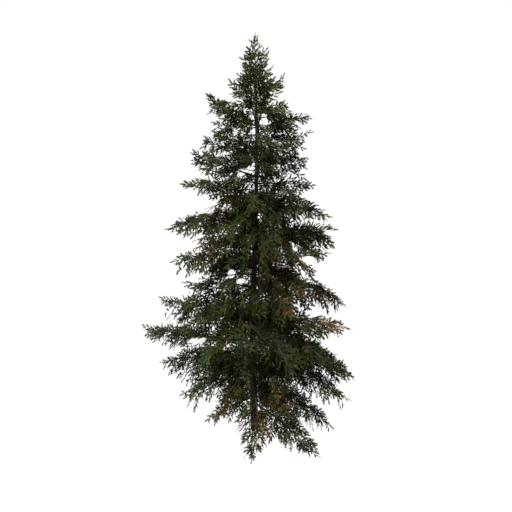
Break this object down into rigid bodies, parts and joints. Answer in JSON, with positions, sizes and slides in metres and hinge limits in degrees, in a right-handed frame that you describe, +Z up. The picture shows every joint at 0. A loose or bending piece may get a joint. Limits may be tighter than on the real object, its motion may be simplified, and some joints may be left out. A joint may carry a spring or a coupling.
{
  "type": "spruce tree",
  "caption": "Young open-grown spruce: a slender tapering trunk with whorled boughs of drooping needle sprays, from the ground up to a pointed leading shoot.",
  "frame": {"origin": "centre of the flat cut under the trunk, at ground level", "axes": "+Z up along the trunk, +X to the right of the side that is its front, +Y towards its back"},
  "size_m": [4.4487, 3.3017, 8],
  "materials": {
    "bark": "rough scaly grey-brown bark",
    "twig": "rough brown twig bark",
    "needles_green": "satin deep green needles",
    "needles_dark": "satin dark green needles of the inner crown",
    "needles_olive": "satin olive needles",
    "needles_blue_green": "satin grey blue-green needles",
    "needles_fresh": "satin yellow-green needles of this year's shoots",
    "needles_brown": "matt brown needles of dying sprays"
  },
  "bodies": {
    "root": {"trunk": "bark", "bough_2_right": "bark", "bough_2_left": "bark", "bough_3_left": "bark", "bough_3_right": "bark", "bough_4_left": "bark", "bough_4_right": "bark", "bough_4_right_back": "bark", "bough_5_left": "bark", "bough_6_left": "bark", "bough_7_right": "bark", "foliage_1_front": "needles_green", "foliage_1_right_front": "needles_green", "foliage_1_right": "needles_green", "foliage_1_left": "needles_brown", "foliage_1_back": "needles_green", "foliage_2_front": "needles_green", "foliage_2_left_front": "needles_olive", "foliage_2_right_front": "needles_green", "foliage_2_right": "needles_green", "foliage_2_left_near": "needles_green", "foliage_2_left": "needles_blue_green", "foliage_2_back": "needles_green", "foliage_2_back_right": "needles_green", "foliage_3_left": "needles_blue_green", "foliage_3_left_back": "needles_blue_green", "foliage_3_left_front": "needles_green", "foliage_3_front": "needles_olive", "foliage_3_front_right": "needles_green", "foliage_3_right_front": "needles_green", "foliage_3_right": "needles_brown", "foliage_3_right_back": "needles_green", "foliage_3_back": "needles_green", "foliage_4_left_low": "needles_green", "foliage_4_left": "needles_green", "foliage_4_left_front": "needles_green", "foliage_4_front_right": "needles_brown", "foliage_4_right_low": "needles_green", "foliage_4_right": "needles_green", "foliage_4_right_back": "needles_green", "foliage_4_back": "needles_green", "foliage_5_left": "needles_green", "foliage_5_left_front": "needles_olive", "foliage_5_front_right": "needles_olive", "foliage_5_right": "needles_green", "foliage_5_left_high": "needles_green", "foliage_5_right_high": "needles_green", "foliage_5_back": "needles_green", "foliage_6_left": "needles_blue_green", "foliage_6_right": "needles_green", "foliage_6_left_high": "needles_blue_green", "foliage_6_right_high": "needles_green", "foliage_6_front": "needles_olive", "foliage_6_back": "needles_green", "foliage_7_left": "needles_blue_green", "foliage_7_right": "needles_green", "foliage_7_low_right": "needles_green", "foliage_7_top_right": "needles_green", "foliage_7_top_left": "needles_green", "foliage_8_leader": "needles_green"}
  },
  "joints": []
}
